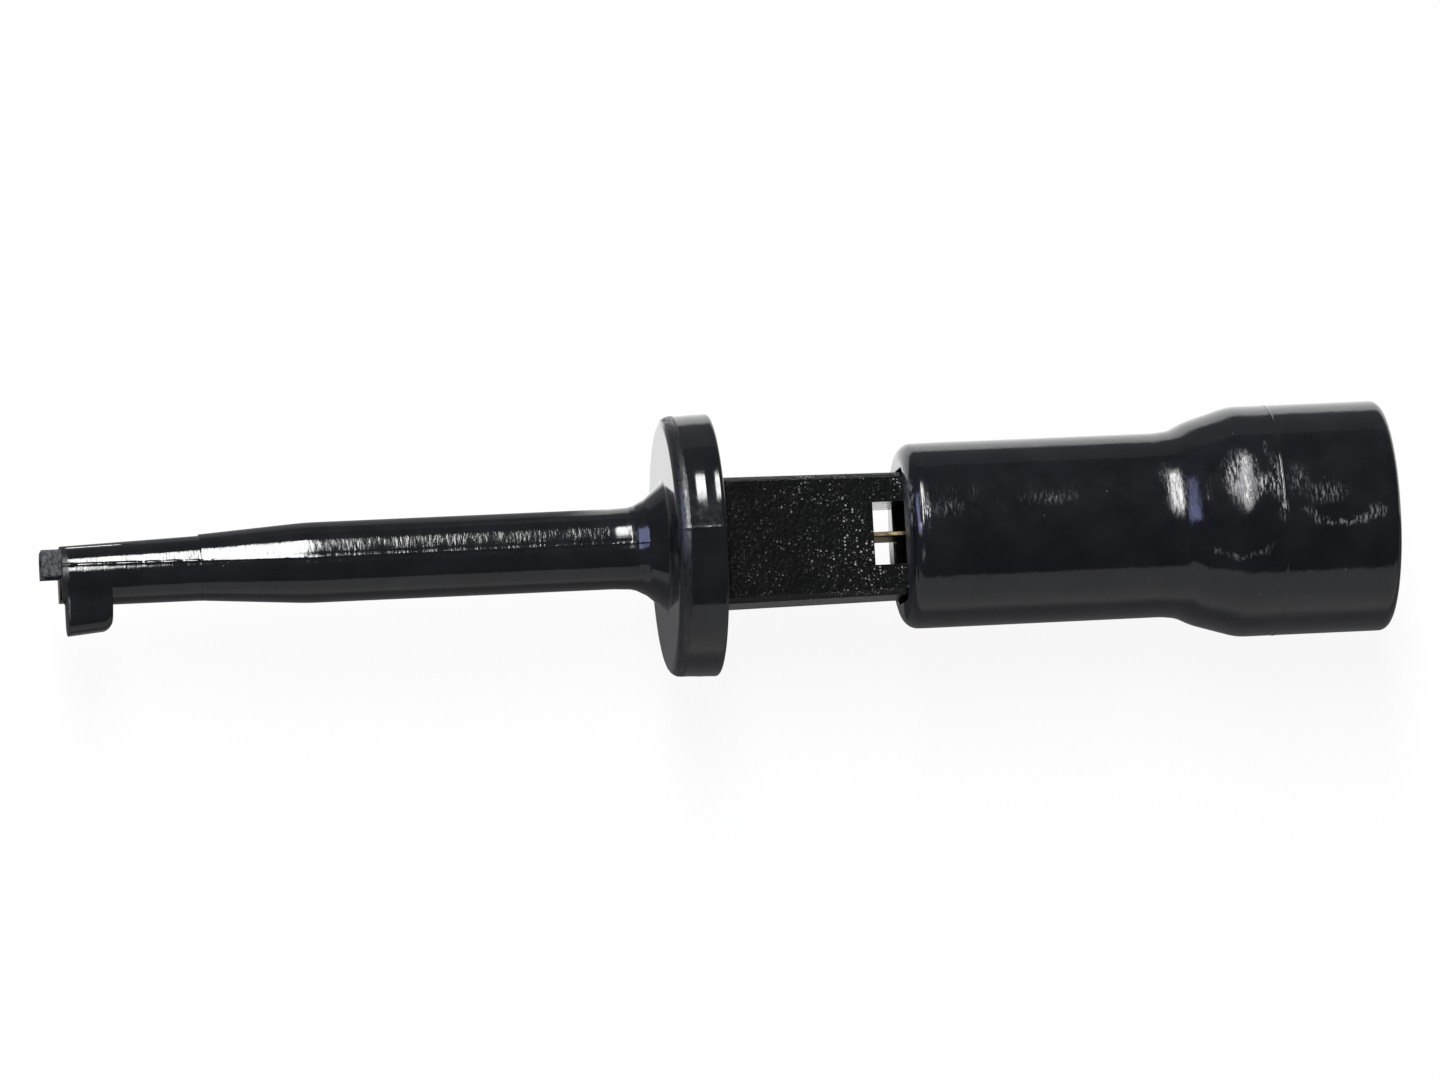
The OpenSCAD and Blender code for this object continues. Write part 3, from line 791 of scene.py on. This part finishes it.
def thumb_wear(tree, place):
    """Wear of the sleeve: the flare's crown, the hollow before it, the front rim and the trimmed front
    face above the guide block are rubbed dull, oval scuffs lie on the front rim, the barrel and the thumb
    end, and two scrapes are the lower arcs of ovals. Noise breaks all of them into streaks."""
    rubbed_ovals = (
        ((21.95, 1.25), (1, 1.8), 1.1),
        ((19.4, 0.9), (1.2, 2.1), 0.65),
        ((18.7, 2), (0.6, 0.9), 0.7),
        ((8.25, 1.2), (0.5, 1.7), 0.4),
    )
    thumb_scuffs = (
        ((21.7, 1.6), (0.9, 1.3), 0.7),
        ((22.7, 1.1), (0.5, 0.55), 1),
        ((23.2, 1.3), (0.45, 1.2), 0.8),
        ((23.45, 0), (0.3, 0.7), 0.65),
        ((22.95, 2.6), (0.14, 0.5), 0.5),
        ((24.1, 1.2), (0.6, 0.9), 0.3),
        ((25.3, 0.6), (1.2, 0.6), 0.4),
    )
    front_scuffs = (
        ((8.2, 0), (0.16, 0.55), 0.6),
        ((8.5, 0.55), (0.18, 0.95), 0.6),
        ((7.85, 0.5), (0.2, 0.55), 0.5),
        ((7.85, 1.4), (0.3, 1.2), 0.6),
        ((8.25, -1.1), (0.12, 0.5), 0.4),
        ((9.4, 0.75), (1, 0.6), 0.25),
        ((13.7, 1), (1.7, 0.45), 0.2),
    )
    scrapes = (
        ((25.9, 0.1), (1.45, 0.75), 0.45),
        ((21.7, -1.35), (1.15, 0.55), 0.25),
    )
    streaks = grain(tree, place, 0.06 * mm, stretch=(1, 6, 6), detail=5)
    torn = grain(tree, place, 0.1 * mm, stretch=(1, 4, 4), detail=6, roughness=0.7)
    warp = reckon(tree, "SUBTRACT", grain(tree, place, 0.7 * mm, detail=5), 0.5)
    dulled = [worn_oval(tree, place, warp, *oval) for oval in rubbed_ovals]
    dulled = reckon(tree, "MULTIPLY", strongest(tree, *dulled), between(tree, torn, 0.42, 0.58, 0.25, 1))
    scuffs = [worn_oval(tree, place, warp, *oval) for oval in thumb_scuffs + front_scuffs]
    scuffs += [worn_oval(tree, place, warp, *oval, scrape=True) for oval in scrapes]
    scuffs = reckon(tree, "MULTIPLY", strongest(tree, *scuffs), between(tree, torn, 0.47, 0.6))
    x, y, z = coordinates(tree, place)
    front = between(tree, x, sleeve_low.x + 0.04 * mm, sleeve_low.x + 0.16 * mm, 1.2, 0)
    front = reckon(tree, "MULTIPLY", front, between(tree, y, 1.8 * mm, 2.4 * mm, 1, 0))
    front = reckon(tree, "MULTIPLY", front, between(tree, z, axis_z, axis_z + 0.5 * mm))
    return strongest(tree, front, dulled), scuffs, streaks


sleeve_finish = polished_black(
    "plunger_black",
    (0.0035, 0.004, 0.0052, 1),
    (0.007, 0.0076, 0.0092, 1),
    gloss=0.07,
    ring_depth=0.0075 * mm,
    rings_end=sleeve_high.x,
    wear=thumb_wear,
)
sleeve.data.materials.append(sleeve_finish)
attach(sleeve, "plunger")
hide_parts("plunger_sleeve")

# Floor: a pale sheet under the hook, white to the camera, which still takes a soft shadow. In the glossy
# black its mirror image is painted: a painted pool of light behind the handle and painted shade on the
# side where the hook shades it.
floor_half = 0.6
floor_corners = np.array([(-1, -1, 0), (1, -1, 0), (1, 1, 0), (-1, 1, 0)]) * floor_half
floor_mesh = bpy.data.meshes.new("floor")
floor_mesh.from_pydata(floor_corners, [], [(0, 1, 2, 3)])
floor = bpy.data.objects.new("floor", floor_mesh)
bpy.context.scene.collection.objects.link(floor)


def pale_sheet(name):
    """Matt pale paper that glows white where the camera sees it. Its mirror image is painted with light and
    shade: painted shade on the hook's shaded side of its axis, lightening further out, and on the lit side
    a painted pool of light behind the flange, which fades a little way out."""
    material, tree, shader, place = new_finish(name, Base_Color=(0.9, 0.9, 0.9, 1), Roughness=0.9)
    seen = node(tree, "LightPath").outputs
    along, across = coordinates(tree, place)[:2]
    # Painted shadow on the shaded side and a painted pool of light on the lit side, for mirror rays only.
    painted_shade_side = between(tree, across, -30 * mm, -14 * mm, 0.6, 0.14)
    painted_light_side = between(tree, across, 13.5 * mm, 16.5 * mm, 1.4, 0.12)
    painted_light_side = reckon(tree, "MULTIPLY", painted_light_side, between(tree, along, -5.5 * mm, -3.5 * mm, 0.15, 1))
    past_axis = between(tree, across, -1 * mm, 1 * mm)
    painted_mirror_glow = node(tree, "Mix", {0: past_axis, 2: painted_shade_side, 3: painted_light_side}).outputs[0]
    glow = node(tree, "Mix", {0: seen["Is Camera Ray"], 2: painted_mirror_glow, 3: 1.0}).outputs[0]
    white = node(tree, "Emission", {"Strength": glow}).outputs[0]
    shown = strongest(tree, seen["Is Camera Ray"], seen["Is Glossy Ray"], seen["Is Transmission Ray"])
    glowing = reckon(tree, "MULTIPLY", shown, 0.92)
    paper = node(tree, "MixShader", {0: glowing, 1: shader.outputs[0], 2: white}).outputs[0]
    tree.links.new(paper, tree.nodes["Material Output"].inputs["Surface"])
    return material


floor_mesh.materials.append(pale_sheet("floor_white"))

# Light: an oval soft box above and behind the hook with a narrow strip beside it, a low card along the near
# side, a cool card far out beyond the nose, and an even dim room.
world = bpy.data.worlds.new("room")
world.use_nodes = True
world.node_tree.nodes["Background"].inputs["Color"].default_value = (0.1, 0.105, 0.115, 1)
bpy.context.scene.world = world


def soft_box(name, shape, along, lean, distance, size, radiance, tint=(1, 1, 1), turn=0):
    """A flat lamp beside the hook: its middle is that far along the axis, it leans from overhead towards
    +Y by an angle in degrees, it faces the axis, and it is turned about its own middle in degrees."""
    lean, turn = np.radians([lean, turn])
    out = Vector((0, np.sin(lean), np.cos(lean)))
    down = Vector((np.sin(turn), np.cos(lean) * np.cos(turn), -np.sin(lean) * np.cos(turn)))
    lamp = bpy.data.lights.new(name, "AREA")
    lamp.shape = shape
    lamp.size, lamp.size_y = size
    lamp.color = tint
    area = size[0] * size[1] * (np.pi / 4 if shape == "ELLIPSE" else 1)
    lamp.energy = radiance * np.pi * area
    holder = bpy.data.objects.new(name, lamp)
    holder.matrix_world = Matrix((down.cross(out), down, out)).transposed().to_4x4()
    holder.location = out * distance + Vector((along, 0, axis_z))
    bpy.context.scene.collection.objects.link(holder)


soft_box("key_box", "ELLIPSE", -0.052, 35, 0.5, (0.115, 0.54), 24, turn=8)
soft_box("tip_strip", "ELLIPSE", -0.012, 21, 0.5, (0.02, 0.15), 20)
soft_box("low_card", "RECTANGLE", 0, -75, 0.5, (1.2, 0.29), 0.5)
soft_box("cool_card", "RECTANGLE", -0.395, 28, 0.35, (0.27, 0.38), 5, (0.5, 0.55, 1))

# Camera: a long lens nearly overhead, turned a little to the nose and to the foot's side, and rolled so
# that the handle rises to the right.
camera = bpy.data.cameras.new("camera")
camera.sensor_width = 36
camera.lens = 275
camera_away = 463.1
yaw, pitch, roll = np.radians([7.1, 5.5, 3.22])
centre = Vector((0.17, 0.189, 5.55)) * mm
back = Vector((-np.sin(yaw) * np.cos(pitch), -np.sin(pitch), np.cos(yaw) * np.cos(pitch)))
level_up = (Vector((0, 1, 0)) - back * back.y).normalized()
level_right = level_up.cross(back)
up = level_up * np.cos(roll) + level_right * np.sin(roll)
right = level_right * np.cos(roll) - level_up * np.sin(roll)
eye = bpy.data.objects.new("camera", camera)
eye.matrix_world = Matrix((right, up, back)).transposed().to_4x4()
eye.location = centre + back * camera_away * mm
bpy.context.scene.collection.objects.link(eye)
bpy.context.scene.camera = eye
bpy.context.scene.view_settings.view_transform = "Standard"
